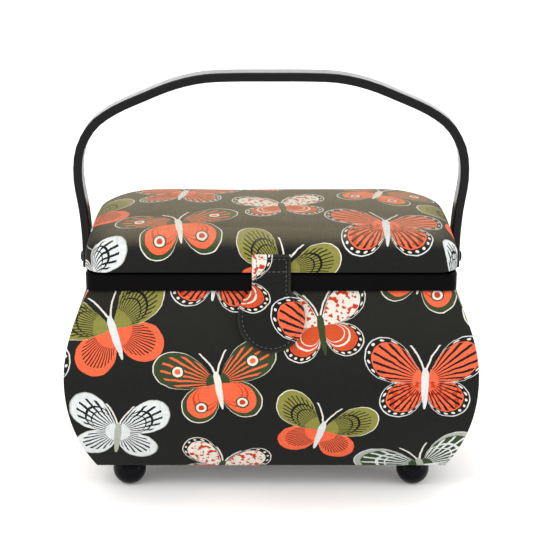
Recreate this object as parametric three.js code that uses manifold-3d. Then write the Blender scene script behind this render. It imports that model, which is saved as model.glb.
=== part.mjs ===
// A sewing box: a bulging box of curved boards in printed cloth, with a moulded rim, a padded lid
// on two hinges, a closing tab with a hidden magnet, a bail handle and two lift-out trays.
// Millimetres, +Z up, the front faces -Y, and the origin is on the ground under the box's middle.
import * as THREE from 'three';
import { mergeVertices } from 'three/addons/utils/BufferGeometryUtils.js';
import Module from 'manifold-3d';

const wasm = await Module();
wasm.setup();

// ---------------------------------------------------------------- driving dimensions
const GAP = 0.3; // between pieces that touch

// The box, to the outside of its cloth. Half-sizes are measured from the middle.
const BODY_BOTTOM = 22.5;
const BODY_TOP = 167;
const GIRTH_Z = 100; // height of the widest girth
const WIDTH = { bottom: 133, widest: 152.5, top: 133.4 }; // half-sizes along X
const DEPTH = { bottom: 57, widest: 82.8, top: 66.8 }; // half-sizes along Y
const WALL_STEPS = 15; // flats that make up a wall's curve

const CLOTH = 1;
const BOARD = 3;
const LINING = 0.8;
const BOARD_INSET = CLOTH + GAP;
const LINING_INSET = BOARD_INSET + BOARD + GAP;
const LINING_BOTTOM = 30.3;
const LINING_TOP = 159.5;

// The base, its feet and its screws
const BASE_COVER_Z = [22.4, 23.2];
const BASE_BOARD_Z = [23.5, 26.5];
const BASE_LINING_Z = [29, 30];
const BASE_CLEARANCE = 0.4;
const BASE_LINING_CLEARANCE = 0.5;
const FOOT_X = 110;
const FOOT_Y = 38;
const FOOT_RADIUS = 12.8;
const FOOT_CENTRE_Z = 12.2;
const FOOT_TOP = 22.1;
const FOOT_NECK = 7.6;
const FOOT_BORE = 2.1;
const SCREW_RADIUS = 1.8;
const SCREW_TIP_Z = 9;
const SCREW_HEAD_RADIUS = 4;
const SCREW_HEAD_Z = [26.8, 28.6];
const SCREW_POINT = 1.5;
const SCREW_HEAD_EDGE = 0.8;

// The moulded rim: a channel section, with a ledge inside for the trays
const RIM_HALF_X = 135.8;
const RIM_HALF_Y = 69;
const RIM_CORNER = 7;
const RIM_BOTTOM = 167.3;
const RIM_TOP = 180.2;
const RIM_SKIN = 1.7;
const RIM_WEB = 2.3;
const RIM_INNER_AT = 7.8; // from the rim's outer face to the back of its inner wall
const RIM_INNER_SKIN = 2;
const LEDGE_WIDTH = 5;
const LEDGE_Z = [160, 162];

// The lid: a moulded frame, board walls and top, foam, and cloth over all of it
const LID_HALF_X = 136.4;
const LID_HALF_Y = 69.8;
const LID_Y = -1; // the lid sits a little forward, to leave room for its hinges
const LID_CORNER = 15.5;
const LID_HEM_Z = 181.9;
const LID_TOP = 208.6;
const SHOULDER_IN = 14;
const SHOULDER_UP = 13;
const LID_FRAME_Z = [180.7, 182.9];
const LID_FRAME_HALF = [132.8, 65.9];
const LID_FRAME_CORNER = 12;
const LID_FRAME_WIDTH = 6.2;
const LID_WALL_Z = [183.2, 195.2];
const LID_WALL = 2.4;
const LID_BOARD_Z = [195.5, 197.9];
const LID_LINING_Z = [193.9, 195.1];
const FOAM_BOTTOM = 198.2;
const KNUCKLE_SLOT = 1; // room in the cloth's hem around each knuckle

// Inside the lid
const CUSHION = { x: -66, y: -2, halfX: 36, halfY: 25, z: [186.8, 193.6] };
const POCKET = { x: 50, y: -2, halfX: 66, halfY: 38, z: [191.4, 193.6] };
const ELASTIC_WIDTH = 6;

// The lid's hinges
const HINGE_Y = 71.9;
const HINGE_Z = 181;
const HINGE_X = [-82, 82];
const KNUCKLE_RADIUS = 2.5;
const KNUCKLE_LENGTH = 14;
const EAR_LENGTH = 5;
const HINGE_PIN_RADIUS = 1.2;
const HINGE_BORE = 1.35;
const EAR_TOP = 0.9; // how far an ear's web stops below the hinge axis
const EAR_DEEP = 12; // how far below the axis the web's slope starts

// The closing tab: a patch sewn to the lid, and a keyhole-shaped flap that hangs from it
const TAB_HALF_STEM = 14.1;
const TAB_DISC_RADIUS = 24.6;
const TAB_DISC_Z = 148.5;
const TAB_AXIS_Y = -72.8;
const TAB_AXIS_Z = 180.3;
const TAB_THICK = 3.8;
const TAB_OFF_WALL = 0.6;
const PATCH_Z = [182.6, 196.4];
const PATCH_THICK = 2.6;
const MAGNET_Z = 143;
const MAGNET_RADIUS = 6;
const MAGNET_THICK = 1.4;

// The bail handle and its pivots
const HANDLE_Y = -3;
const HANDLE_DEEP = 16.4;
const HANDLE_THICK = 6.8;
const HANDLE_EDGE = 1.2; // rounding of the strip's long edges
const HANDLE_STEPS = 64;
const PIVOT_Z = 173.6;
const PIVOT_RADIUS = 2.2;
const PIVOT_BORE = 2.5;
const PIVOT_HEAD = 4.6;
const PIVOT_HEAD_HEIGHT = 2;
const PIVOT_TAIL = 3.4; // radius of the flange inside the rim
const PIVOT_TAIL_THICK = 1.2;
const BOSS_RADIUS = 6;
const HANDLE_END = 9; // rounding of the strip's lower end about the pivot
// Middle line of the right half of the strip, as [x, z], from its lower end to the top
const ARM_X = 140.6;
const HANDLE_LINE = [
  [ARM_X, PIVOT_Z - HANDLE_END - 1], [ARM_X, 190], [142.2, 212], [144.6, 228], [145.4, 243],
  [142.6, 260], [133, 276.5], [117.5, 288.1], [95, 298.4], [72.5, 307.3], [51, 312.2], [28, 313.4],
];
const HANDLE_TOP = 313.5;

// The two trays
const TRAY_Z = [134, 164];
const TRAY_LIP = 1.6;
const TRAY_SKIN = 1.6;
const TRAY_CORNER = 5;
const TRAY_CLEARANCE = 0.6;
const TRAY_SPLIT = 1; // between the two trays' bodies, along X
const LIP_SPLIT = 0.6; // between the two trays' lips

// ---------------------------------------------------------------- looks
const look = (color, roughness, metalness = 0) => ({ color, roughness, metalness });
const CHARCOAL_PRINT = look(0x2e2f2c, 0.85);
const BLACK_PLASTIC = look(0x100f12, 0.28);
const HANDLE_PLASTIC = look(0x262527, 0.4);
const GREY_BOARD = look(0x8c857a, 0.9);
const LINING_CLOTH = look(0x3a3b37, 0.9);
const RED_CLOTH = look(0xd9583a, 0.9);
const FOAM = look(0xe8e2c8, 0.95);
const TRAY_PLASTIC = look(0x2a2a2c, 0.35);
const STEEL = look(0xb4b4b8, 0.3, 1);

// ---------------------------------------------------------------- geometry helpers
const X = new THREE.Vector3(1, 0, 0);
const Y = new THREE.Vector3(0, 1, 0);
const Z = new THREE.Vector3(0, 0, 1);

/** A three.js geometry as a solid that can be joined and cut. */
function solid(geometry) {
  const bare = geometry.clone();
  bare.deleteAttribute('normal');
  bare.deleteAttribute('uv');
  const merged = mergeVertices(bare, 1e-4);
  return new wasm.Manifold(new wasm.Mesh({
    numProp: 3,
    vertProperties: new Float32Array(merged.attributes.position.array),
    triVerts: new Uint32Array(merged.index.array),
  }));
}

/** A solid as a three.js geometry. */
function geometryOf(body) {
  const { vertProperties, triVerts } = body.getMesh();
  const geometry = new THREE.BufferGeometry();
  geometry.setAttribute('position', new THREE.BufferAttribute(vertProperties, 3));
  geometry.setIndex(new THREE.BufferAttribute(triVerts, 1));
  return geometry;
}

/** A shape drawn as (y, z), swept along X. */
function prismX(shape, from, to) {
  const geometry = new THREE.ExtrudeGeometry(shape, { depth: to - from, bevelEnabled: false });
  geometry.applyMatrix4(new THREE.Matrix4().makeBasis(Y, Z, X));
  return solid(geometry.translate(from, 0, 0));
}

/** A shape drawn as (x, z), swept along Y. */
function prismY(shape, from, to, curveSegments = 12) {
  const options = { depth: to - from, bevelEnabled: false, curveSegments };
  const geometry = new THREE.ExtrudeGeometry(shape, options);
  return solid(geometry.rotateX(Math.PI / 2).translate(0, to, 0));
}

/** A shape drawn as (x, y), swept along Z. */
function prismZ(shape, [from, to], curveSegments = 5) {
  const options = { depth: to - from, bevelEnabled: false, curveSegments };
  return solid(new THREE.ExtrudeGeometry(shape, options).translate(0, 0, from));
}

/** A box from its two corners. */
function block([x0, y0, z0], [x1, y1, z1]) {
  const geometry = new THREE.BoxGeometry(x1 - x0, y1 - y0, z1 - z0);
  return solid(geometry.translate((x0 + x1) / 2, (y0 + y1) / 2, (z0 + z1) / 2));
}

/** A round bar along X. */
function barX(radius, x0, x1, y, z, segments = 20) {
  const geometry = new THREE.CylinderGeometry(radius, radius, x1 - x0, segments);
  return solid(geometry.rotateZ(Math.PI / 2).translate((x0 + x1) / 2, y, z));
}

/** A round bar along Z. */
function barZ(radius, z0, z1, x, y, segments = 16) {
  const geometry = new THREE.CylinderGeometry(radius, radius, z1 - z0, segments);
  return solid(geometry.rotateX(Math.PI / 2).translate(x, y, (z0 + z1) / 2));
}

function roundedRectangle(halfX, halfY, radius, x = 0, y = 0) {
  const [dx, dy] = [halfX - radius, halfY - radius];
  const quarter = Math.PI / 2;
  const shape = new THREE.Shape();
  shape.absarc(x + dx, y - dy, radius, -quarter, 0);
  shape.absarc(x + dx, y + dy, radius, 0, quarter);
  shape.absarc(x - dx, y + dy, radius, quarter, 2 * quarter);
  shape.absarc(x - dx, y - dy, radius, 2 * quarter, 3 * quarter);
  return shape;
}

/** A flat ring: a rounded rectangle, and the same one `width` further in cut out of it. */
function ring(halfX, halfY, radius, width, heights, y = 0) {
  const shape = roundedRectangle(halfX, halfY, radius, 0, y);
  const innerRadius = Math.max(radius - width, 1.5);
  shape.holes.push(roundedRectangle(halfX - width, halfY - width, innerRadius, 0, y));
  return prismZ(shape, heights);
}

/** An upright block with rounded corners, whose top edge is rounded over by `inwards` and `up`. */
function dome(halfX, halfY, corner, inwards, up, [bottom, top], y = 0, steps = 5) {
  const core = roundedRectangle(halfX - inwards, halfY - inwards, corner - inwards, 0, y);
  const geometry = new THREE.ExtrudeGeometry(core, {
    depth: top - up - bottom,
    bevelThickness: up,
    bevelSize: inwards,
    bevelSegments: steps,
    curveSegments: 5,
  });
  return solid(geometry.translate(0, 0, bottom)).trimByPlane([0, 0, 1], bottom);
}

/** A turned piece: `profile` is a list of [radius, z] that starts and ends on the axis. */
function turned(profile, segments) {
  const points = profile.map(([radius, z]) => new THREE.Vector2(radius, z));
  return new THREE.LatheGeometry(points, segments).rotateX(Math.PI / 2);
}

const object = new THREE.Group();

/** Adds a piece to a group as a named mesh. */
function add(name, shape, looks, parent = object) {
  const geometry = shape.isBufferGeometry ? shape : geometryOf(shape);
  const mesh = new THREE.Mesh(geometry, new THREE.MeshStandardMaterial(looks));
  mesh.name = name;
  parent.add(mesh);
  return mesh;
}

// ---------------------------------------------------------------- the box's curved walls
/** The box's half-size at a height: two parabolas that meet at the widest girth. */
function halfSize(size, z) {
  const end = z > GIRTH_Z ? size.top : size.bottom;
  const reach = (z > GIRTH_Z ? BODY_TOP : BODY_BOTTOM) - GIRTH_Z;
  return size.widest - (size.widest - end) * ((z - GIRTH_Z) / reach) ** 2;
}

/** The heights at which a wall bends, shared by every layer so that the layers nest. */
function bends(from, to) {
  const rise = (BODY_TOP - BODY_BOTTOM) / WALL_STEPS;
  const all = Array.from({ length: WALL_STEPS }, (_, step) => BODY_BOTTOM + step * rise);
  return [from, ...all.filter((z) => z > from + 1 && z < to - 1), to];
}

/** A curved wall seen from its end, `inset` inside the outer cloth face; side is 1 or -1. */
function wallSection(size, side, inset, thick, from, to) {
  const line = (depth) => bends(from, to).map(
    (z) => new THREE.Vector2(side * (halfSize(size, z) - depth), z));
  return new THREE.Shape([...line(inset), ...line(inset + thick).reverse()]);
}

/** The whole box's outline seen from the front or from an end, taken in by `inset`. */
function outline(size, inset, from, to) {
  const line = (side) => bends(from, to).map(
    (z) => new THREE.Vector2(side * (halfSize(size, z) - inset), z));
  return new THREE.Shape([...line(1), ...line(-1).reverse()]);
}

/** One layer of the front (side -1) or back (side 1) wall: it runs the full width of the layer. */
function longWall(side, inset, thick, from, to) {
  const slab = prismX(wallSection(DEPTH, side, inset, thick, from, to), -WIDTH.widest, WIDTH.widest);
  return slab.intersect(prismY(outline(WIDTH, inset, from, to), -DEPTH.widest, DEPTH.widest));
}

/** One layer of the left (side -1) or right (side 1) wall: it stands between the long walls. */
function endWall(side, inset, thick, from, to) {
  const between = inset + thick + GAP;
  const slab = prismY(wallSection(WIDTH, side, inset, thick, from, to), -DEPTH.widest, DEPTH.widest);
  return slab.intersect(prismX(outline(DEPTH, between, from, to), -WIDTH.widest, WIDTH.widest));
}

/** Direction straight out of the front wall at a height, as an angle of tilt about X. */
function frontTilt(z) {
  const step = 0.5;
  return Math.atan2(halfSize(DEPTH, z - step) - halfSize(DEPTH, z + step), 2 * step);
}

/** A disc that lies against the front wall, from `near` to `far` mm outside its cloth face. */
function frontDisc(radius, near, far, z) {
  const geometry = new THREE.CylinderGeometry(radius, radius, far - near, 24);
  geometry.translate(0, -(near + far) / 2, 0);
  return solid(geometry.rotateX(-frontTilt(z)).translate(0, -halfSize(DEPTH, z), z));
}

function makeWalls() {
  const walls = { front: [longWall, -1], back: [longWall, 1], left: [endWall, -1], right: [endWall, 1] };
  for (const [where, [wall, side]] of Object.entries(walls)) {
    add(`${where}_cover`, wall(side, 0, CLOTH, BODY_BOTTOM, BODY_TOP), CHARCOAL_PRINT);
    add(`${where}_lining`, wall(side, LINING_INSET, LINING, LINING_BOTTOM, LINING_TOP), LINING_CLOTH);
    const board = wall(side, BOARD_INSET, BOARD, BODY_BOTTOM + GAP, BODY_TOP);
    const pocket = frontDisc(MAGNET_RADIUS + GAP, -BOARD_INSET - MAGNET_THICK - GAP, 2, MAGNET_Z);
    add(`${where}_board`, where === 'front' ? board.subtract(pocket) : board, GREY_BOARD);
  }
  const plate = frontDisc(MAGNET_RADIUS, -BOARD_INSET - MAGNET_THICK, -BOARD_INSET, MAGNET_Z);
  add('magnet_plate', plate, STEEL);
}

// ---------------------------------------------------------------- base, feet and screws
const footPlaces = [
  ['front_left', -FOOT_X, -FOOT_Y],
  ['front_right', FOOT_X, -FOOT_Y],
  ['rear_left', -FOOT_X, FOOT_Y],
  ['rear_right', FOOT_X, FOOT_Y],
];

/** A flat floor piece that fills the space between the boards at its own lower face. */
function floor([bottom, top], clearance) {
  const inset = BOARD_INSET + BOARD + clearance;
  const halfX = halfSize(WIDTH, bottom) - inset;
  const halfY = halfSize(DEPTH, bottom) - inset;
  return block([-halfX, -halfY, bottom], [halfX, halfY, top]);
}

/** Cuts the four screw holes through a floor piece. */
function drilled(piece) {
  return footPlaces.reduce(
    (rest, [, x, y]) => rest.subtract(barZ(FOOT_BORE, BODY_BOTTOM - 1, LINING_BOTTOM, x, y)), piece);
}

/** A ball foot with a small flat under it, a flat top and a blind hole for its screw. */
function footProfile() {
  const low = Math.asin(-FOOT_CENTRE_Z / FOOT_RADIUS);
  const high = Math.acos(FOOT_NECK / FOOT_RADIUS);
  const steps = 8;
  const ball = Array.from({ length: steps + 1 }, (_, step) => {
    const angle = low + (high - low) * (step / steps);
    return [FOOT_RADIUS * Math.cos(angle), FOOT_CENTRE_Z + FOOT_RADIUS * Math.sin(angle)];
  });
  const bore = [[FOOT_NECK - 0.3, FOOT_TOP], [FOOT_BORE, FOOT_TOP], [FOOT_BORE, SCREW_TIP_Z - 1]];
  return [[0, 0], ...ball.filter(([, z]) => z < FOOT_TOP), ...bore, [0, SCREW_TIP_Z - 1]];
}

function makeBase() {
  add('base_cover', drilled(floor(BASE_COVER_Z, BASE_CLEARANCE)), LINING_CLOTH);
  add('base_board', drilled(floor(BASE_BOARD_Z, BASE_CLEARANCE)), GREY_BOARD);
  add('base_lining', floor(BASE_LINING_Z, BASE_LINING_CLEARANCE), LINING_CLOTH);
  const screw = [
    [0, SCREW_TIP_Z],
    [SCREW_RADIUS, SCREW_TIP_Z + SCREW_POINT],
    [SCREW_RADIUS, SCREW_HEAD_Z[0]],
    [SCREW_HEAD_RADIUS, SCREW_HEAD_Z[0]],
    [SCREW_HEAD_RADIUS - SCREW_HEAD_EDGE, SCREW_HEAD_Z[1]],
    [0, SCREW_HEAD_Z[1]],
  ];
  for (const [where, x, y] of footPlaces) {
    add(`foot_${where}`, turned(footProfile(), 20), BLACK_PLASTIC).position.set(x, y, 0);
    add(`foot_screw_${where}`, turned(screw, 12), STEEL).position.set(x, y, 0);
  }
}

// ---------------------------------------------------------------- rim
/** A round lug on the hinge axis, from x0 to x1, with a web to the piece that carries it. */
function lug(x0, x1, web) {
  return barX(KNUCKLE_RADIUS, x0, x1, HINGE_Y, HINGE_Z).add(web);
}

function makeRim() {
  const inner = RIM_INNER_AT + RIM_INNER_SKIN;
  const ledgeHalf = [RIM_HALF_X - RIM_INNER_AT, RIM_HALF_Y - RIM_INNER_AT];
  const shell = dome(RIM_HALF_X, RIM_HALF_Y, RIM_CORNER, 1.2, 1.2, [RIM_BOTTOM, RIM_TOP], 0, 2);
  const hollow = prismZ(
    roundedRectangle(RIM_HALF_X - RIM_SKIN, RIM_HALF_Y - RIM_SKIN, RIM_CORNER - RIM_SKIN),
    [RIM_BOTTOM - 1, RIM_TOP - RIM_WEB]);
  const mouth = prismZ(
    roundedRectangle(RIM_HALF_X - inner, RIM_HALF_Y - inner, 1.5), [RIM_BOTTOM - 1, RIM_TOP + 1]);
  let rim = shell.subtract(hollow).subtract(mouth);
  rim = rim.add(ring(...ledgeHalf, 1.8, RIM_INNER_SKIN, [LEDGE_Z[0], RIM_TOP - 1]));
  rim = rim.add(ring(...ledgeHalf, 1.8, RIM_INNER_SKIN + LEDGE_WIDTH, LEDGE_Z));
  for (const side of [-1, 1]) {
    const [near, far] = [side * (RIM_HALF_X - 1), side * (ARM_X - HANDLE_THICK / 2 - GAP)];
    rim = rim.add(barX(BOSS_RADIUS, Math.min(near, far), Math.max(near, far), HANDLE_Y, PIVOT_Z));
    const bore = [side * (RIM_HALF_X - 2 * RIM_SKIN), side * ARM_X];
    rim = rim.subtract(barX(PIVOT_BORE, Math.min(...bore), Math.max(...bore), HANDLE_Y, PIVOT_Z));
  }
  for (const x of HINGE_X) {
    for (const side of [-1, 1]) {
      const ends = [x + side * (KNUCKLE_LENGTH / 2 + GAP), x + side * (KNUCKLE_LENGTH / 2 + EAR_LENGTH)];
      const [x0, x1] = [Math.min(...ends), Math.max(...ends)];
      const web = block([x0, RIM_HALF_Y - 1, HINGE_Z - EAR_DEEP], [x1, HINGE_Y, HINGE_Z - EAR_TOP]);
      const slope = prismX(new THREE.Shape([
        new THREE.Vector2(RIM_HALF_Y - 2, HINGE_Z - EAR_DEEP - 1),
        new THREE.Vector2(HINGE_Y + KNUCKLE_RADIUS, HINGE_Z - EAR_DEEP - 1),
        new THREE.Vector2(HINGE_Y + KNUCKLE_RADIUS, HINGE_Z - EAR_TOP),
        new THREE.Vector2(RIM_HALF_Y, HINGE_Z - 0.75 * EAR_DEEP),
      ]), x0 - 1, x1 + 1);
      rim = rim.add(lug(x0, x1, web.subtract(slope)));
    }
    const reach = KNUCKLE_LENGTH / 2 + EAR_LENGTH + 1;
    rim = rim.subtract(barX(HINGE_BORE, x - reach, x + reach, HINGE_Y, HINGE_Z));
  }
  add('rim_frame', rim, BLACK_PLASTIC);
}

function makeHingePins() {
  const length = KNUCKLE_LENGTH + 2 * EAR_LENGTH;
  HINGE_X.forEach((x, n) => {
    const pin = new THREE.CylinderGeometry(HINGE_PIN_RADIUS, HINGE_PIN_RADIUS, length, 14);
    const mesh = add(`hinge_pin_${n ? 'right' : 'left'}`, pin.rotateZ(Math.PI / 2), STEEL);
    mesh.position.set(x, HINGE_Y, HINGE_Z);
  });
}

// ---------------------------------------------------------------- lid
const lid = new THREE.Group();
object.add(lid);

/** The lid's dome, `inset` inside the cloth's outer face. */
function lidDome(inset, bottom) {
  return dome(
    LID_HALF_X - inset, LID_HALF_Y - inset, LID_CORNER - inset,
    SHOULDER_IN - inset, SHOULDER_UP - inset, [bottom, LID_TOP - inset], LID_Y);
}

function makeLidFrame() {
  let frame = ring(...LID_FRAME_HALF, LID_FRAME_CORNER, LID_FRAME_WIDTH, LID_FRAME_Z);
  for (const x of HINGE_X) {
    const [x0, x1] = [x - KNUCKLE_LENGTH / 2, x + KNUCKLE_LENGTH / 2];
    const arm = block([x0, LID_FRAME_HALF[1] - 2, LID_FRAME_Z[0]], [x1, HINGE_Y, LID_FRAME_Z[1]]);
    frame = frame.add(lug(x0, x1, arm));
    frame = frame.subtract(barX(HINGE_BORE, x0 - 1, x1 + 1, HINGE_Y, HINGE_Z));
  }
  add('lid_frame', frame, BLACK_PLASTIC, lid);
}

function makeLidShell() {
  const wallInset = CLOTH + GAP;
  const wallHalf = [LID_HALF_X - wallInset, LID_HALF_Y - wallInset];
  const corner = LID_CORNER - wallInset;
  add('lid_walls', ring(...wallHalf, corner, LID_WALL, LID_WALL_Z, LID_Y), GREY_BOARD, lid);
  const top = roundedRectangle(wallHalf[0] - 0.5, wallHalf[1] - 0.5, corner, 0, LID_Y);
  add('lid_board', prismZ(top, LID_BOARD_Z), GREY_BOARD, lid);
  add('lid_foam', lidDome(CLOTH + GAP, LID_WALL_Z[0]).trimByPlane([0, 0, 1], FOAM_BOTTOM), FOAM, lid);
  let cover = lidDome(0, LID_HEM_Z).subtract(lidDome(CLOTH, LID_HEM_Z - 1));
  for (const x of HINGE_X) {
    const half = KNUCKLE_LENGTH / 2 + KNUCKLE_SLOT;
    const slotFrom = [x - half, LID_FRAME_HALF[1] - 2, LID_HEM_Z - 1];
    cover = cover.subtract(block(slotFrom, [x + half, HINGE_Y, LID_WALL_Z[0] + GAP]));
  }
  add('lid_cover', cover, CHARCOAL_PRINT, lid);
  const liningInset = wallInset + LID_WALL + GAP;
  const lining = roundedRectangle(
    LID_HALF_X - liningInset, LID_HALF_Y - liningInset, LID_CORNER - liningInset, 0, LID_Y);
  add('lid_lining', prismZ(lining, LID_LINING_Z), LINING_CLOTH, lid);
}

/** A soft pad with rounded edges on the lid's inside. */
function pad({ x, y, halfX, halfY, z }, edge) {
  const shape = roundedRectangle(halfX - edge, halfY - edge, 5, x, y);
  const options = { depth: z[1] - z[0] - 2 * edge, bevelThickness: edge, bevelSize: edge, bevelSegments: 2 };
  return new THREE.ExtrudeGeometry(shape, { ...options, curveSegments: 4 }).translate(0, 0, z[0] + edge);
}

function makeLidInside() {
  add('pincushion', pad(CUSHION, 2.4), RED_CLOTH, lid);
  add('lid_pocket', pad(POCKET, 0.8), LINING_CLOTH, lid);
  const { x, y, halfX, halfY, z } = POCKET;
  const band = new THREE.BoxGeometry(2 * halfX, ELASTIC_WIDTH, z[1] - z[0]);
  const elastic = add('pocket_elastic', band, RED_CLOTH, lid);
  elastic.position.set(x, y - halfY - GAP - ELASTIC_WIDTH / 2, (z[0] + z[1]) / 2);
}

function makeTab() {
  const front = LID_Y - LID_HALF_Y - GAP;
  const patch = new THREE.BoxGeometry(2 * TAB_HALF_STEM, PATCH_THICK, PATCH_Z[1] - PATCH_Z[0]);
  add('tab_patch', patch, CHARCOAL_PRINT, lid)
    .position.set(0, front - PATCH_THICK / 2, (PATCH_Z[0] + PATCH_Z[1]) / 2);

  const back = (z) => Math.min(TAB_AXIS_Y + TAB_THICK / 2, -halfSize(DEPTH, z) - TAB_OFF_WALL);
  const heights = bends(TAB_DISC_Z - TAB_DISC_RADIUS - 1, TAB_AXIS_Z);
  const section = new THREE.Shape([
    ...heights.map((z) => new THREE.Vector2(back(z), z)),
    ...heights.map((z) => new THREE.Vector2(back(z) - TAB_THICK, z)).reverse(),
  ]);
  const neck = Math.acos(TAB_HALF_STEM / TAB_DISC_RADIUS);
  const keyhole = new THREE.Shape();
  keyhole.moveTo(TAB_HALF_STEM, TAB_AXIS_Z);
  keyhole.lineTo(TAB_HALF_STEM, TAB_DISC_Z + TAB_DISC_RADIUS * Math.sin(neck));
  keyhole.absarc(0, TAB_DISC_Z, TAB_DISC_RADIUS, neck, Math.PI - neck, true);
  keyhole.lineTo(-TAB_HALF_STEM, TAB_AXIS_Z);
  let flap = prismX(section, -TAB_DISC_RADIUS, TAB_DISC_RADIUS);
  flap = flap.intersect(prismY(keyhole, -DEPTH.widest - 2 * TAB_THICK, -DEPTH.top, 28));
  flap = flap.add(barX(TAB_THICK / 2, -TAB_HALF_STEM, TAB_HALF_STEM, TAB_AXIS_Y, TAB_AXIS_Z, 16));
  flap = flap.subtract(frontDisc(MAGNET_RADIUS + GAP, 0, TAB_OFF_WALL + MAGNET_THICK + 2 * GAP, MAGNET_Z));
  add('closure_tab', flap, CHARCOAL_PRINT);
  const near = TAB_OFF_WALL + GAP;
  add('tab_magnet', frontDisc(MAGNET_RADIUS, near, near + MAGNET_THICK, MAGNET_Z), STEEL);
}

// ---------------------------------------------------------------- handle
/** The strip's middle line over the whole handle, from the right arm's end to the left one's. */
function handleLine() {
  const right = HANDLE_LINE.map(([x, z]) => new THREE.Vector2(x, z));
  const left = [...right].map(({ x, y }) => new THREE.Vector2(-x, y)).reverse();
  return new THREE.SplineCurve([...right, new THREE.Vector2(0, HANDLE_TOP), ...left]);
}

function makeHandle() {
  const line = handleLine();
  const core = HANDLE_THICK / 2 - HANDLE_EDGE;
  const edge = (side) => Array.from({ length: HANDLE_STEPS + 1 }, (_, step) => {
    const at = step / HANDLE_STEPS;
    const along = line.getTangentAt(at);
    return line.getPointAt(at).add(new THREE.Vector2(-along.y, along.x).multiplyScalar(side * core));
  });
  const strip = new THREE.ExtrudeGeometry(new THREE.Shape([...edge(1), ...edge(-1).reverse()]), {
    depth: HANDLE_DEEP - 2 * HANDLE_EDGE,
    bevelThickness: HANDLE_EDGE,
    bevelSize: HANDLE_EDGE,
    bevelSegments: 2,
  });
  strip.rotateX(Math.PI / 2).translate(0, HANDLE_Y + HANDLE_DEEP / 2 - HANDLE_EDGE, 0);
  const rounded = new THREE.Shape();
  rounded.absarc(HANDLE_Y, PIVOT_Z, HANDLE_END, Math.PI, 2 * Math.PI);
  rounded.lineTo(HANDLE_Y + HANDLE_END, HANDLE_TOP + HANDLE_THICK);
  rounded.lineTo(HANDLE_Y - HANDLE_END, HANDLE_TOP + HANDLE_THICK);
  let bail = solid(strip).intersect(prismX(rounded, -WIDTH.widest, WIDTH.widest));
  for (const side of [-1, 1]) {
    const middle = side * ARM_X;
    bail = bail.subtract(barX(PIVOT_BORE, middle - HANDLE_THICK, middle + HANDLE_THICK, HANDLE_Y, PIVOT_Z));
  }
  add('handle_bail', bail, HANDLE_PLASTIC);
}

/** The two rivets that the handle swings on. */
function makePivots() {
  const inside = RIM_HALF_X - RIM_SKIN - GAP;
  const outside = ARM_X + HANDLE_THICK / 2 + GAP;
  const profile = [
    [0, inside - PIVOT_TAIL_THICK],
    [PIVOT_TAIL, inside - PIVOT_TAIL_THICK],
    [PIVOT_TAIL, inside],
    [PIVOT_RADIUS, inside],
    [PIVOT_RADIUS, outside],
    [PIVOT_HEAD, outside],
    [0.85 * PIVOT_HEAD, outside + 0.6 * PIVOT_HEAD_HEIGHT],
    [0.5 * PIVOT_HEAD, outside + 0.9 * PIVOT_HEAD_HEIGHT],
    [0, outside + PIVOT_HEAD_HEIGHT],
  ];
  for (const side of [-1, 1]) {
    const rivet = add(`handle_pivot_${side < 0 ? 'left' : 'right'}`, turned(profile, 16), BLACK_PLASTIC);
    rivet.rotation.y = side * Math.PI / 2;
    rivet.position.set(0, HANDLE_Y, PIVOT_Z);
  }
}

// ---------------------------------------------------------------- trays
/** A half-width tray with a long front compartment and two at the back. side is 1 or -1. */
function makeTray(side) {
  const ledge = RIM_INNER_AT + RIM_INNER_SKIN + LEDGE_WIDTH;
  const body = [RIM_HALF_X - ledge - TRAY_CLEARANCE, RIM_HALF_Y - ledge - TRAY_CLEARANCE];
  const lip = [body[0] + LEDGE_WIDTH, body[1] + LEDGE_WIDTH];
  const halfTray = (outer, clear) => (outer - clear) / 2;
  const middle = (outer, clear) => side * (outer + clear) / 2;
  const bodyHalf = halfTray(body[0], TRAY_SPLIT);
  const bodyX = middle(body[0], TRAY_SPLIT);
  const lipShape = roundedRectangle(
    halfTray(lip[0], LIP_SPLIT), lip[1], TRAY_CORNER, middle(lip[0], LIP_SPLIT));
  let tray = prismZ(roundedRectangle(bodyHalf, body[1], TRAY_CORNER, bodyX), TRAY_Z);
  tray = tray.add(prismZ(lipShape, [TRAY_Z[1] - TRAY_LIP, TRAY_Z[1]]));
  const room = [bodyHalf - TRAY_SKIN, (body[1] - 1.5 * TRAY_SKIN) / 2];
  const shift = (body[1] - TRAY_SKIN / 2) / 2;
  const front = roundedRectangle(room[0], room[1], TRAY_CORNER - TRAY_SKIN, bodyX, -shift);
  const halfRoom = (room[0] - TRAY_SKIN / 2) / 2;
  const offset = (room[0] + TRAY_SKIN / 2) / 2;
  const hollow = [TRAY_Z[0] + TRAY_SKIN, TRAY_Z[1] + 1];
  tray = tray.subtract(prismZ(front, hollow));
  for (const end of [-1, 1]) {
    const back = roundedRectangle(halfRoom, room[1], TRAY_CORNER - TRAY_SKIN, bodyX + end * offset, shift);
    tray = tray.subtract(prismZ(back, hollow));
  }
  add(`tray_${side < 0 ? 'left' : 'right'}`, tray, TRAY_PLASTIC);
}

makeWalls();
makeBase();
makeRim();
makeHingePins();
makeLidFrame();
makeLidShell();
makeLidInside();
makeTab();
makeHandle();
makePivots();
makeTray(-1);
makeTray(1);

export default object;
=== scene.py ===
# A sewing box in butterfly-printed cotton: bulging walls, a padded lid with a closing tab, a moulded
# rim and bail handle, ball feet, and two lift-out trays. Metres, +Z up, the front faces -Y.
import math

import bmesh
import bpy
import numpy as np
from mathutils import Matrix, Vector, noise


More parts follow.
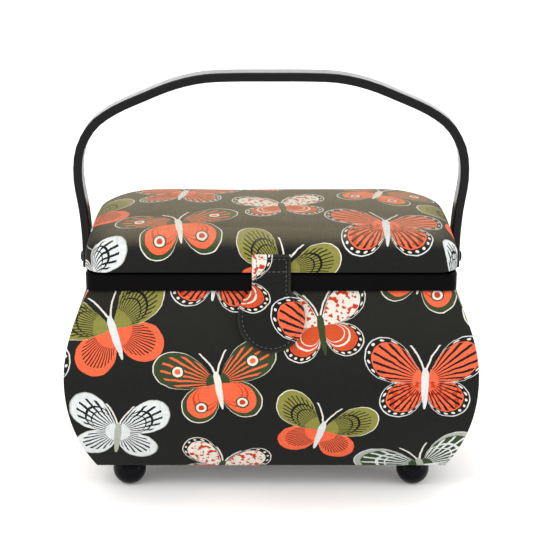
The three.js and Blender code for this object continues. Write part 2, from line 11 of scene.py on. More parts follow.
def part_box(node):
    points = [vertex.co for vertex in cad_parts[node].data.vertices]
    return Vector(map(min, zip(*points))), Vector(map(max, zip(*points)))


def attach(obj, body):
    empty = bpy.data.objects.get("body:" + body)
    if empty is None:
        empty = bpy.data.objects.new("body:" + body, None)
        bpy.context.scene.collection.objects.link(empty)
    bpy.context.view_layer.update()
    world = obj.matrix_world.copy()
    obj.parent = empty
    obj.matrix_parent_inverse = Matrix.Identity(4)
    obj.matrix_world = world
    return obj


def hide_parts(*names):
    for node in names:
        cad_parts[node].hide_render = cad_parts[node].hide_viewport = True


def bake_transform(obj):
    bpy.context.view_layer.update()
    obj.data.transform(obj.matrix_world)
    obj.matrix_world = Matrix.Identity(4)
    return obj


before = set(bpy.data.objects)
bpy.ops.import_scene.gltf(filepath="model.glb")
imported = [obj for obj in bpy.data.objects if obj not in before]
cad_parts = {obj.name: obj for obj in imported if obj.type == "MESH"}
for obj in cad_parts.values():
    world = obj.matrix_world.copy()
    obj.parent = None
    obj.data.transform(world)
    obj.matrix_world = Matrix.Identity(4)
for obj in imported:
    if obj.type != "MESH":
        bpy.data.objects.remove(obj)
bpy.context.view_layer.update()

GIRTH_Z = 0.100  # height of the box's widest girth
CLOTH = 0.0009  # thickness of the covers

# The printed cloth is a lattice of cells, in millimetres, and repeats over this many of them.
COLUMNS, ROWS = 4, 4
CELL_X, CELL_Y = 76.0, 84.0
REPEAT_X = COLUMNS * CELL_X
REPEAT_Y = ROWS * CELL_Y

# ---------------------------------------------------------------- colours


def linear(code):
    """A colour such as "f16d48" as linear red, green, blue and alpha."""
    parts = [int(code[i : i + 2], 16) / 255 for i in (0, 2, 4)]
    return [c / 12.92 if c <= 0.04045 else ((c + 0.055) / 1.055) ** 2.4 for c in parts] + [1.0]


GROUND = linear("1e1f1d")
CORAL = linear("f56a45")
DARK_CORAL = linear("cc3f18")
ORANGE = linear("d2512a")
CREAM = linear("ebe4d8")
WHITE = linear("dfe3e2")
GREY = linear("aeb2a6")
OLIVE = linear("8d8a42")
GREEN = linear("39482c")
INK = linear("1b1d1d")
# The pale veil of painted light, mixed into the print where the painted-light attribute is set.
PAINTED_LIGHT_VEIL = linear("a3977b")

# ---------------------------------------------------------------- arithmetic that builds nodes


class Num:
    """A number that varies over a surface. Arithmetic on it adds Math nodes."""

    def __init__(self, tree, socket):
        self.tree = tree
        self.socket = socket

    def node(self, operation, *values):
        made = self.tree.nodes.new("ShaderNodeMath")
        made.operation = operation
        for slot, value in zip(made.inputs, values):
            if isinstance(value, Num):
                self.tree.links.new(value.socket, slot)
            else:
                slot.default_value = value
        return Num(self.tree, made.outputs[0])

    def __add__(self, other):
        return self.node("ADD", self, other)

    def __sub__(self, other):
        return self.node("SUBTRACT", self, other)

    def __rsub__(self, other):
        return self.node("SUBTRACT", other, self)

    def __mul__(self, other):
        return self.node("MULTIPLY", self, other)

    def __truediv__(self, other):
        return self.node("DIVIDE", self, other)

    def __lt__(self, other):
        return self.node("LESS_THAN", self, other)

    def __gt__(self, other):
        return self.node("GREATER_THAN", self, other)

    def __and__(self, other):
        return self.node("MULTIPLY", self, other)

    def __or__(self, other):
        return self.node("MAXIMUM", self, other)

    def outside(self):
        return self.node("SUBTRACT", 1.0, self)

    def within(self, middle, half):
        """1 where this number is within half of middle."""
        return self.node("COMPARE", self, middle, half)

    def wrapped(self, low, high):
        return self.node("WRAP", self, high, low)

    def part(self):
        return self.node("FRACT", self)

    def size(self):
        return self.node("ABSOLUTE", self)

    def sine(self):
        return self.node("SINE", self)

    def clamped(self):
        return self.node("MINIMUM", self.node("MAXIMUM", self, 0.0), 1.0)


class Look:
    """A Principled material and the nodes that feed it."""

    def __init__(self, name, roughness=0.5, **values):
        self.material = bpy.data.materials.new(name)
        self.material.use_nodes = True
        self.tree = self.material.node_tree
        self.shader = self.tree.nodes["Principled BSDF"]
        self.set("Roughness", roughness)
        for key, value in values.items():
            self.set(key.replace("_", " ").title().replace("Ior", "IOR"), value)
        self.height = None

    def set(self, name, value):
        """Sets one of the shader's inputs to a number, a colour or a socket."""
        slot = self.shader.inputs[name]
        if isinstance(value, Num):
            self.tree.links.new(value.socket, slot)
        elif isinstance(value, bpy.types.NodeSocket):
            self.tree.links.new(value, slot)
        else:
            slot.default_value = value

    def new(self, kind, **inputs):
        node = self.tree.nodes.new(kind)
        for name, value in inputs.items():
            slot = node.inputs[name.replace("_", " ")]
            self.feed(slot, value)
        return node

    def feed(self, slot, value):
        if isinstance(value, Num):
            value = value.socket
        if isinstance(value, bpy.types.NodeSocket):
            self.tree.links.new(value, slot)
        else:
            slot.default_value = value

    def place(self):
        """The point on the piece, in its own metres, as x, y and z."""
        return self.tree.nodes.new("ShaderNodeTexCoord").outputs["Object"]

    def cloth(self):
        """Where a point lies on the cloth it is cut from, in millimetres."""
        uv = self.tree.nodes.new("ShaderNodeUVMap")
        uv.uv_map = "cloth"
        split = self.new("ShaderNodeSeparateXYZ", Vector=uv.outputs[0])
        return [Num(self.tree, split.outputs[n]) * 1000.0 for n in (0, 1)]

    def point(self, x, y, z=0.0):
        return self.new("ShaderNodeCombineXYZ", X=x, Y=y, Z=z).outputs[0]

    def noise(self, at, scale, detail=2.0, roughness=0.5):
        node = self.new("ShaderNodeTexNoise", Vector=at, Scale=scale, Detail=detail, Roughness=roughness)
        return Num(self.tree, node.outputs["Fac"])

    def dots(self, at, scale):
        """How far a point is from the middle of its irregular cell."""
        node = self.new("ShaderNodeTexVoronoi", Vector=at, Scale=scale)
        return Num(self.tree, node.outputs["Distance"])

    def mix(self, factor, below, above, blend="MIX"):
        node = self.tree.nodes.new("ShaderNodeMix")
        node.data_type = "RGBA"
        node.blend_type = blend
        for slot, value in ((0, factor), (6, below), (7, above)):
            self.feed(node.inputs[slot], value)
        return node.outputs[2]

    def curve(self, at, points):
        """A smooth curve through (x, y) points, with x and y from 0 to 1."""
        node = self.new("ShaderNodeFloatCurve", Value=at)
        line = node.mapping.curves[0]
        line.points[0].location = points[0]
        line.points[1].location = points[-1]
        for x, y in points[1:-1]:
            line.points.new(x, y)
        node.mapping.update()
        return Num(self.tree, node.outputs[0])

    def bump(self, height, depth):
        """Adds a relief: height runs from 0 to 1 and depth is in metres."""
        node = self.new("ShaderNodeBump", Height=height, Strength=1.0, Distance=depth)
        if self.height is not None:
            self.tree.links.new(self.height, node.inputs["Normal"])
        self.height = node.outputs[0]
        self.tree.links.new(self.height, self.shader.inputs["Normal"])


# ---------------------------------------------------------------- the printed butterflies


class Butterfly:
    """A place on the cloth to draw a butterfly: x is the distance from its middle line and y is towards
    its head, in millimetres; angle is in degrees above straight out, and reach is the distance out."""

    FAR = 70.0  # longer than any wing, in millimetres, to bring a wing's edge between 0 and 1

    def __init__(self, sheet, at, size=1.0, lean=0.0):
        self.sheet = sheet
        u = sheet.u.wrapped(at[0] - REPEAT_X / 2, at[0] + REPEAT_X / 2) - at[0]
        v = sheet.v.wrapped(at[1] - REPEAT_Y / 2, at[1] + REPEAT_Y / 2) - at[1]
        if lean:
            c, s = math.cos(math.radians(lean)) / size, math.sin(math.radians(lean)) / size
            u, v = u * c + v * s, v * c - u * s
        elif size != 1.0:
            u, v = u / size, v / size
        self.x = u.size()
        self.y = v
        self.at = sheet.look.point(self.x, self.y)
        self.reach = self.distance(0.0, 0.0)
        self.angle = v.node("ARCTAN2", v, self.x) * (180.0 / math.pi)

    def distance(self, x, y):
        """The distance from a point on each wing."""
        node = self.sheet.look.tree.nodes.new("ShaderNodeVectorMath")
        node.operation = "DISTANCE"
        self.sheet.look.feed(node.inputs[0], self.at)
        node.inputs[1].default_value = (x, y, 0.0)
        return Num(self.sheet.look.tree, node.outputs["Value"])

    def outline(self, points):
        """A wing's edge, given as (angle, distance out) points: how far out a point is, from 0 to 1 at
        the edge, and its distance beyond the edge in millimetres."""
        along = [((a + 90.0) / 180.0, r / self.FAR) for a, r in points]
        edge = self.sheet.look.curve((self.angle + 90.0) / 180.0, along) * self.FAR
        return self.reach / edge.node("MAXIMUM", edge, 0.01), self.reach - edge

    def paint(self, where, colour):
        self.sheet.paint(where, colour)

    def veins(self, step, width):
        """Rays from the body, step degrees apart and width millimetres wide."""
        across = ((self.angle / step).part() - 0.5).size()
        return (across < 0.2) & ((across * self.reach * math.radians(step)) < width / 2)

    def body(self, top, bottom, half, colour):
        middle, length = (top + bottom) / 2, (top - bottom) / 2
        along = (self.y - middle) / length
        room = 1.0 - along * along
        taper = room.node("POWER", room.node("MAXIMUM", room, 0.0), 0.35) * (along * 0.35 + 1.0)
        self.paint((self.x / half < taper) & (along.size() < 1.0), colour)

    def feelers(self, start, end, width, colour):
        """Two curved feelers from near the head outwards."""
        (x0, y0), (x1, y1) = start, end
        share = (self.y - y0) / (y1 - y0)
        line = self.x - x0 - (share * 0.6 + 0.4) * share * (x1 - x0)
        self.paint(share.within(0.5, 0.5) & (line.size() < width), colour)


class Cloth:
    """The printed cloth's ground, on which butterflies are painted one over another."""

    def __init__(self, look):
        self.look = look
        u, v = look.cloth()
        self.bare_u, self.bare_v = u, v
        shake = look.point(u, v)
        self.u = u + (look.noise(shake, 0.16, 2.0) - 0.5) * 1.5
        self.v = v + (look.noise(look.point(v, u), 0.16, 2.0) - 0.5) * 1.5
        self.colour = GROUND

    def paint(self, where, colour):
        self.colour = self.look.mix(where, self.colour, colour)


# Two pairs of wings, lower then upper: the middle direction of each in degrees above straight out, how
# far the wing spreads below and above it in degrees, and its length in millimetres.
BROAD = ((-40.0, 48.0, 46.0, 33.0), (34.0, 44.0, 32.0, 42.0))
LONG = ((-50.0, 38.0, 52.0, 35.0), (25.0, 34.0, 38.0, 45.0))
ROUND = ((-35.0, 50.0, 40.0, 31.0), (41.0, 44.0, 32.0, 39.0))

# Wing shapes, the colours (main, border, outline, marks) of the lower and upper wings, the body's
# colour, and each pair's marks.
DESIGNS = (
    (BROAD, ((CORAL, INK, WHITE, INK), (CORAL, INK, WHITE, INK)), WHITE, ("blotch rays dots", "rays dots")),
    (ROUND, ((WHITE, WHITE, GREY, INK), (WHITE, WHITE, GREY, INK)), GREY, ("rays", "rays rings")),
    (LONG, ((CORAL, GREEN, CREAM, DARK_CORAL), (GREEN, GREEN, CREAM, CORAL)), CREAM,
     ("spot rings", "rays spot")),
    (BROAD, ((CORAL, CORAL, CORAL, INK), (OLIVE, OLIVE, CREAM, INK)), WHITE, ("fine", "fine rings")),
    (ROUND, ((ORANGE, INK, CREAM, CREAM), (CREAM, INK, CREAM, ORANGE)), GREEN,
     ("rings dots", "blotch dots")),
    (LONG, ((WHITE, GREY, WHITE, GREEN), (GREEN, GREY, WHITE, WHITE)), GREY, ("fine spot", "rays rings")),
)

# Widths and places of what is drawn on a wing, in millimetres in from its edge.
OUTLINE_IN = 0.8
BORDER_IN = 4.6
MARKS_IN = 5.4
DOTS_IN = 2.7
DOT_RADIUS = 0.9487
DOT_STEP = 8.0  # degrees between the border's dots
SPOT_RADII = (4.6, 3.6, 2.0)

# Which design is in each place of the lattice, column by column from the left and upwards.
ORDER = ((2, 0, 1, 3), (3, 4, 2, 0), (0, 1, 3, 4), (4, 5, 0, 2))


def petal(middle, below, above, length):
    """The edge of a wing whose length falls away smoothly on both sides of its middle direction."""
    points = []
    for angle in np.linspace(-90.0, 90.0, 31):
        share = (middle - angle) / below if angle < middle else (angle - middle) / above
        points.append((float(angle), length * math.cos(min(share, 1.0) * math.pi / 2) ** 0.5))
    return points


def butterfly(cloth, at, design, size, lean):
    """Two pairs of petal-shaped wings with a border and simple marks, a body and two feelers."""
    wings, colours, trunk, marks = design
    b = Butterfly(cloth, at, size, lean)
    for wing, (main, border, line, mark), drawn in zip(wings, colours, marks):
        t, out = b.outline(petal(*wing))
        b.paint(t < 1.0, line)
        b.paint((t < 1.0) & (out < -OUTLINE_IN), border)
        b.paint((t < 1.0) & (out < -BORDER_IN), main)
        inside = (t < 1.0) & (out < -MARKS_IN)
        if "blotch" in drawn:
            b.paint(inside & (cloth.look.noise(b.at, 0.28, 1.0) > 0.56), DARK_CORAL)
        if "rays" in drawn:
            b.paint(inside & (b.reach > 8.0) & b.veins(8.5, 1.5), mark)
        if "fine" in drawn:
            b.paint(inside & (b.reach > 12.0) & b.veins(4.5, 0.8), mark)
        if "rings" in drawn:
            b.paint(t.within(0.66, 0.022) | t.within(0.54, 0.012), mark)
        if "spot" in drawn:
            middle, length = math.radians(wing[0]), wing[3] * 0.62
            spot = b.distance(length * math.cos(middle), length * math.sin(middle))
            for radius, colour in zip(SPOT_RADII, (border, CREAM, mark)):
                b.paint(spot < radius, colour)
        if "dots" in drawn:
            across = ((b.angle / DOT_STEP).part() - 0.5) * b.reach * math.radians(DOT_STEP)
            along = out + DOTS_IN
            b.paint((t < 1.0) & ((across * across + along * along) < DOT_RADIUS**2), CREAM)
    b.body(8.0, -20.0, 2.2, trunk)
    b.feelers((1.0, 7.0), (9.0, 22.0), 0.6, CREAM)


def draw_butterflies(cloth):
    """One repeat of the print: every second column is half a cell higher, and sizes and tilts vary in
    turn."""
    for column in range(COLUMNS):
        for row in range(ROWS):
            at = ((column - 1.5) * CELL_X, (row - 1.5 + (column % 2) / 2) * CELL_Y)
            design = DESIGNS[ORDER[column][row]]
            size = 1.05 + 0.05 * ((3 * column + row) % 4)
            butterfly(cloth, at, design, size, 8.0 * ((2 * column + 3 * row) % 5 - 2))


# ---------------------------------------------------------------- materials


def weave(look, u, v, pitch, depth, slub=0.5):
    """A plain weave: threads pass over and under each other, with thicker and thinner stretches."""
    across = (u * (math.pi / pitch)).sine().size()
    along = (v * (math.pi / pitch)).sine().size()
    over = ((u / pitch).node("FLOOR", u / pitch) + (v / pitch).node("FLOOR", v / pitch)) * 0.5
    turn = over.part() * 2.0
    height = across * turn + along * turn.outside()
    threads = look.noise(look.point(u * 1.6, v * 0.07), 1.0) + look.noise(look.point(u * 0.07, v * 1.6), 1.0)
    look.bump((height * 0.6 + threads * slub).socket, depth)
    return threads


def printed_cotton():
    look = Look(
        "printed_cotton", roughness=0.82, specular_ior_level=0.1, sheen_weight=0.1, sheen_roughness=0.3)
    look.shader.inputs["Sheen Tint"].default_value = linear("d8d2be")
    cloth = Cloth(look)
    draw_butterflies(cloth)
    threads = weave(look, cloth.bare_u, cloth.bare_v, 0.55, 0.0001)
    shade = (threads - 1.0) * 0.55 + 1.0
    faded = look.noise(look.point(cloth.bare_u, cloth.bare_v), 0.012, 3.0) * 0.22 + 0.70
    tone = look.new("ShaderNodeCombineColor", Red=shade * faded, Green=shade * faded, Blue=shade * faded)
    # Painted light: the attribute's share mixes the pale veil into the print, lightening the lid's top, the
    # walls' upper part and the tab's rolled edge.
    painted_light_node = look.new("ShaderNodeAttribute")
    painted_light_node.attribute_name = "painted_light"
    print_with_painted_light = look.mix(Num(look.tree, painted_light_node.outputs["Fac"]) * 0.46, cloth.colour, PAINTED_LIGHT_VEIL)
    look.set("Base Color", look.mix(1.0, print_with_painted_light, tone.outputs[0], "MULTIPLY"))
    look.set("Roughness", threads * 0.12 + 0.72)
    return look.material


def plain_cloth(name, colour, pitch=0.6, depth=0.0001, sheen=0.3):
    look = Look(name, roughness=0.85, specular_ior_level=0.25, sheen_weight=sheen, sheen_roughness=0.5)
    look.shader.inputs["Sheen Tint"].default_value = linear("cfcabd")
    u, v = look.cloth()
    threads = weave(look, u, v, pitch, depth)
    pale = [min(c * 1.5 + 0.01, 1.0) for c in colour[:3]] + [1.0]
    dark = [c * 0.6 for c in colour[:3]] + [1.0]
    look.set("Base Color", look.mix((threads * 1.6 - 1.1).clamped(), dark, pale))
    look.set("Roughness", threads * 0.1 + 0.78)
    return look.material


def moulded(name, colour, roughness, grain=0.00002, scuffs=0.25, specular=0.5):
    """Injection-moulded plastic: faint flow marks, a fine grain, and scuffs that dull its gloss."""
    look = Look(name, roughness=roughness, specular_ior_level=specular)
    at = look.place()
    flow = look.noise(at, 38.0, 3.0)
    fine = look.noise(at, 900.0, 2.0)
    wear_and_highlight = look.noise(at, 140.0, 4.0, 0.7)
    light = [min(c * 1.5 + 0.0008, 1.0) for c in colour[:3]] + [1.0]
    look.set("Base Color", look.mix(flow, colour, light))
    look.set("Roughness", (wear_and_highlight - 0.5) * scuffs + flow * 0.08 + (roughness - 0.04))
    look.bump((fine * 0.5 + flow).socket, grain)
    return look.material


def metal(name, colour, roughness):
    """Plated steel with fine turning marks."""
    look = Look(name, roughness=roughness, metallic=1.0)
    at = look.place()
    marks = look.noise(at, 2200.0, 1.0)
    cloud = look.noise(at, 120.0, 3.0)
    dark = [c * 0.72 for c in colour[:3]] + [1.0]
    look.set("Base Color", look.mix(cloud, colour, dark))
    look.set("Roughness", cloud * 0.25 + roughness - 0.1)
    look.bump(marks.socket, 0.00001)
    return look.material


def card(name):
    """Grey board, with the fibres and flecks of pulped paper."""
    look = Look(name, roughness=0.92, specular_ior_level=0.2)
    at = look.place()
    fibres = look.noise(at, 420.0, 4.0, 0.75)
    flecks = look.noise(at, 1500.0, 2.0) > 0.66
    base = look.mix(fibres, linear("7c766c"), linear("a59e92"))
    look.set("Base Color", look.mix(flecks, base, linear("5d5850")))
    look.bump(fibres.socket, 0.00018)
    return look.material


def open_foam(name):
    look = Look(name, roughness=0.95, specular_ior_level=0.15)
    at = look.place()
    cells = look.dots(at, 700.0)
    look.set("Base Color", look.mix(cells.clamped(), linear("b9b190"), linear("efe9d2")))
    look.bump(cells.socket, 0.0006)
    return look.material


def thread(name, colour):
    """Twisted sewing thread."""
    look = Look(name, roughness=0.6, sheen_weight=0.4)
    at = look.place()
    twist = look.noise(at, 1900.0, 1.0)
    dark = [c * 0.55 for c in colour[:3]] + [1.0]
    look.set("Base Color", look.mix(twist, dark, colour))
    look.bump(twist.socket, 0.0001)
    return look.material


PRINT = printed_cotton()
LINING = plain_cloth("lining_cloth", linear("2e302c"))
CORAL_CLOTH = plain_cloth("coral_cloth", linear("c54a2b"), 0.7, 0.00016)
BLACK = moulded("black_plastic", linear("040304"), 0.15, scuffs=0.15, specular=0.035)
HANDLE = moulded("handle_plastic", linear("0b0a0c"), 0.24, grain=0.00002, scuffs=0.2, specular=0.15)
FOOT = moulded("foot_plastic", linear("060509"), 0.26, grain=0.00005, scuffs=0.25, specular=0.08)
TRAY = moulded("tray_plastic", linear("1e1f22"), 0.38, grain=0.00004, scuffs=0.25)
BOARD = card("grey_board")
FOAM = open_foam("foam")
STEEL = metal("steel", linear("a9a9ad"), 0.34)
THREAD = thread("tab_thread", linear("50545a"))

# ---------------------------------------------------------------- mesh helpers


def piece(name, points, faces, material, uv=None, smooth=True):
    """A mesh from points, faces and, for cloth, each point's place on the cloth in metres."""
    mesh = bpy.data.meshes.new(name)
    mesh.from_pydata([tuple(p) for p in points], [], faces)
    mesh.validate()
    if uv is not None:
        add_uv(mesh, uv)
    mesh.polygons.foreach_set("use_smooth", [smooth] * len(mesh.polygons))
    mesh.materials.append(material)
    made = bpy.data.objects.new(name, mesh)
    bpy.context.scene.collection.objects.link(made)
    return made


def add_painted_light(mesh, amounts):
    """How much painted light pales the cloth at each point, from 0 to 1: a painted pool of light on the
    lid's top and the walls' upper part, and a painted highlight round the tab's edge.
    """
    layer = mesh.attributes.new("painted_light", "FLOAT", "POINT")
    layer.data.foreach_set("value", np.asarray(amounts, np.float32))


def add_uv(mesh, uv):
    layer = mesh.uv_layers.new(name="cloth")
    corners = np.zeros(len(mesh.loops), np.int32)
    mesh.loops.foreach_get("vertex_index", corners)
    layer.data.foreach_set("uv", np.asarray(uv, np.float32)[corners].ravel())


def grid_faces(rows, columns, closed=False, start=0):
    faces = []
    for r in range(rows - 1):
        for c in range(columns if closed else columns - 1):
            a, b = start + r * columns + c, start + r * columns + (c + 1) % columns
            faces.append((a, b, b + columns, a + columns))
    return faces


def join_rings(faces, ring, new):
    """Faces between two closed rings of the same number of points."""
    for k in range(len(ring)):
        n = (k + 1) % len(ring)
        faces.append((ring[k], new[k], new[n], ring[n]))


def smoothed(obj):
    """Subdivides a piece once, for good."""
    smooth = obj.modifiers.new("smooth", "SUBSURF")
    smooth.levels = smooth.render_levels = 1
    with bpy.context.temp_override(object=obj, active_object=obj):
        bpy.ops.object.modifier_apply(modifier="smooth")


def thicken(obj, thickness, edge=0.0003, offset=-1.0):
    solid = obj.modifiers.new("thickness", "SOLIDIFY")
    solid.thickness = thickness
    solid.offset = offset
    bevel = obj.modifiers.new("edges", "BEVEL")
    bevel.width = edge
    bevel.segments = 3
    bevel.limit_method = "ANGLE"
    bevel.angle_limit = math.radians(50)
    return obj


def ripple(x, y, size, amount):
    """A gentle unevenness of cloth, in metres."""
    return amount * noise.noise(Vector((x / size, y / size, 3.7)))


def shade_smooth(obj, angle=35.0):
    obj.data.shade_smooth()
    obj.data.set_sharp_from_angle(angle=math.radians(angle))


def finish_cad(node, material, bevel=0.0, angle=35.0):
    """Gives a carried-over CAD node its material and softened edges."""
    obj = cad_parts[node]
    obj.data.materials.clear()
    obj.data.materials.append(material)
    if bevel:
        round_over = obj.modifiers.new("edges", "BEVEL")
        round_over.width = bevel
        round_over.segments = 2
        round_over.limit_method = "ANGLE"
        round_over.angle_limit = math.radians(40)
        round_over.use_clamp_overlap = True
    shade_smooth(obj, angle)


# ---------------------------------------------------------------- the box's curved walls


class Bulge:
    """Half the box's size along one axis at each height, from the covers that the frame holds."""

    def __init__(self, node, axis):
        points = np.array([v.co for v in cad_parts[node].data.vertices])
        z = points[:, 2]
        self.bottom, self.top = z.min(), z.max()
        across = np.abs(points[:, axis])
        self.at_bottom = across[z < self.bottom + 1e-5].max()
        self.at_top = across[z > self.top - 1e-5].max()
        self.widest = across.max()

    def half(self, z):
        end = self.at_top if z > GIRTH_Z else self.at_bottom
        reach = (self.top if z > GIRTH_Z else self.bottom) - GIRTH_Z
        return self.widest - (self.widest - end) * ((z - GIRTH_Z) / reach) ** 2

    def up(self, z):
        """The distance over the cloth from the bottom edge to a height."""
        steps = np.linspace(self.bottom, max(z, self.bottom + 1e-6), 60)
        across = np.array([self.half(s) for s in steps])
        return float(np.hypot(np.diff(steps), np.diff(across)).sum())


DEEP = Bulge("front_cover", 1)
WIDE = Bulge("left_cover", 0)
CORNER_GAP = 0.0013  # the end covers stop this far inside the long ones' outer faces
LINING_THICK = 0.0007
WALL_PAINTED_LIGHT = 0.05  # how much lighter the walls are painted at their top edge, easing off down to the girth: painted light


def wall_cloth(name, side, along_x, cut, material, inset=0.0, heights=None):
    """One wall's cloth, stretched over its board. inset is how far its outer face lies inside the box's,
    and cut is where its bottom middle lies on the cloth, in metres, and how far it was cut off square."""
    depth, width = (DEEP, WIDE) if along_x else (WIDE, DEEP)
    low, high = heights or (depth.bottom, depth.top)
    rows, columns = 56, 110 if along_x else 64
    between = inset + (0.0 if along_x else CORNER_GAP)
    lean = math.radians(cut[2])
    points, uv = [], []
    for z in np.linspace(low, high, rows):
        out = depth.half(z) - inset
        half = width.half(z) - between
        climbed = depth.up(z)
        for s in np.linspace(-1, 1, columns):
            across = s * half
            fade = min(1.0, (1 - abs(s)) * 8, (z - low) * 60 + 0.1, (high - z) * 60 + 0.2)
            face = side * (out - 0.0001 + fade * ripple(across + 9 * side, climbed, 0.045, 0.00035))
            points.append((across, face, z) if along_x else (face, across, z))
            turned = across * (-side if along_x else side)
            uv.append((
                cut[0] + turned * math.cos(lean) + climbed * math.sin(lean),
                cut[1] + climbed * math.cos(lean) - turned * math.sin(lean)))
    faces = grid_faces(rows, columns)
    if (side > 0) == along_x:
        faces = [tuple(reversed(f)) for f in faces]
    cloth = piece(name, points, faces, material, uv)
    # Painted light: the cloth is paled from the girth up to the top edge.
    add_painted_light(cloth.data, [WALL_PAINTED_LIGHT * max(0.0, p[2] - GIRTH_Z) / (high - GIRTH_Z) for p in points])
    thicken(cloth, CLOTH if inset == 0.0 else LINING_THICK)
    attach(cloth, "box")
    return cloth


WALLS = (
    ("front", -1, True, (0.0, 0.0, 0.8)),
    ("back", 1, True, (0.100, 0.050, -0.8)),
    ("left", -1, False, (-0.235, 0.0, 0.8)),
    ("right", 1, False, (0.235, 0.0, -0.8)),
)


def make_wall_cloths():
    lining_lo, lining_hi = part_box("front_lining")
    inset = DEEP.widest + lining_lo.y
    for where, side, along_x, cut in WALLS:
        flat = (2 * (WIDE if along_x else DEEP).widest, (DEEP if along_x else WIDE).up(DEEP.top))
        cover = wall_cloth(f"{where}_panel_cloth", side, along_x, cut, PRINT)
        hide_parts(f"{where}_cover")
        lining = wall_cloth(
            f"{where}_wall_lining", side, along_x, cut, LINING, inset,
            (lining_lo.z, lining_hi.z))
        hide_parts(f"{where}_lining")


make_wall_cloths()

# ---------------------------------------------------------------- feet

CORNERS = ("front_left", "front_right", "rear_left", "rear_right")
FOOT_MIDDLE = 0.0122  # height of the ball's middle
FOOT_TOP_RADIUS = 0.0086  # of the ball where the neck begins


def lathe(name, profile, at, material, around=48):
    """A turned piece about the vertical axis through at; profile is (radius, height) points."""
    points, faces = [], []
    for radius, z in profile:
        for n in range(around):
            a = 2 * math.pi * n / around
            points.append((at[0] + radius * math.cos(a), at[1] + radius * math.sin(a), z))
    faces += grid_faces(len(profile), around, closed=True)
    faces.append(tuple(range(around - 1, -1, -1)))
    top = (len(profile) - 1) * around
    faces.append(tuple(range(top, top + around)))
    return piece(name, points, faces, material)


def make_feet():
    for where in CORNERS:
        node = f"foot_{where}"
        lo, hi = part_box(node)
        centre = (lo + hi) / 2
        radius = (hi.x - lo.x) / 2
        low = math.asin(-FOOT_MIDDLE / radius * 0.985)
        high = math.acos(FOOT_TOP_RADIUS / radius)
        ball = [
            (radius * math.cos(a), FOOT_MIDDLE + radius * math.sin(a)) for a in np.linspace(low, high, 22)
        ]
        profile = [(ball[0][0] * 0.7, lo.z)] + ball
        neck = hi.z
        profile += [(0.0082, ball[-1][1] + 0.0002), (0.0079, neck - 0.0002), (0.0076, neck)]
        foot = lathe(f"ball_foot_{where}", profile, centre, FOOT)
        shade_smooth(foot, 40)
        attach(foot, "box")
        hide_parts(node)


make_feet()

# ---------------------------------------------------------------- rounded rectangles of cloth


class Plan:
    """A rounded rectangle seen from above, whose inset outlines share one numbering of their points."""

    def __init__(self, lo, hi, corner, cells_x, cells_y):
        self.middle = ((lo.x + hi.x) / 2, (lo.y + hi.y) / 2)
        self.half = ((hi.x - lo.x) / 2, (hi.y - lo.y) / 2)
        self.corner = corner
        self.cells = (cells_x, cells_y)

    def edge_point(self, s, inset, long_side):
        """A point on the side facing -Y (or +X), s running from -1 to 1 between corners."""
        radius = max(self.corner - inset, 0.001)
        across, out = (self.half[0], self.half[1]) if long_side else (self.half[1], self.half[0])
        straight, arc = across - inset - radius, radius * math.pi / 4
        along = abs(s) * (straight + arc)
        turn = max(along - straight, 0.0) / radius
        x = min(along, straight) + radius * math.sin(turn)
        y = out - inset - radius * (1 - math.cos(turn))
        return math.copysign(x, s), y

    def loop(self, inset):
        """The outline's points, anticlockwise from the front left corner."""
        n, m = self.cells
        long = [self.edge_point(2 * k / n - 1, inset, True) for k in range(n)]
        short = [self.edge_point(2 * k / m - 1, inset, False) for k in range(m)]
        points = [(x, -y) for x, y in long] + [(y, x) for x, y in short]
        points += [(-x, y) for x, y in long] + [(-y, -x) for x, y in short]
        return [(x + self.middle[0], y + self.middle[1]) for x, y in points]

    def filled(self, inset):
        """A grid of points that fills an outline, row by row from the front."""
        n, m = self.cells
        around = np.array(self.loop(inset))
        front = np.array([around[k] for k in range(n + 1)])
        right = np.array([around[n + k] for k in range(m + 1)])
        back = np.array([around[n + m + k] for k in range(n + 1)])[::-1]
        left = np.array([around[(2 * n + m + k) % len(around)] for k in range(m + 1)])[::-1]
        grid = []
        for j in range(m + 1):
            v = j / m
            for i in range(n + 1):
                u = i / n
                edges = (1 - v) * front[i] + v * back[i] + (1 - u) * left[j] + u * right[j]
                corners = (
                    (1 - u) * (1 - v) * front[0] + u * (1 - v) * front[n]
                    + (1 - u) * v * back[0] + u * v * back[n])
                grid.append(edges - corners)
        return np.array(grid)

    def rim_numbers(self, start=0):
        """The numbers, in a filled grid, of the points of its outline, in loop order."""
        n, m = self.cells
        wide = n + 1
        front = list(range(n))
        right = [k * wide + n for k in range(m)]
        back = [m * wide + n - k for k in range(n)]
        left = [(m - k) * wide for k in range(m)]
        return [start + k for k in front + right + back + left]


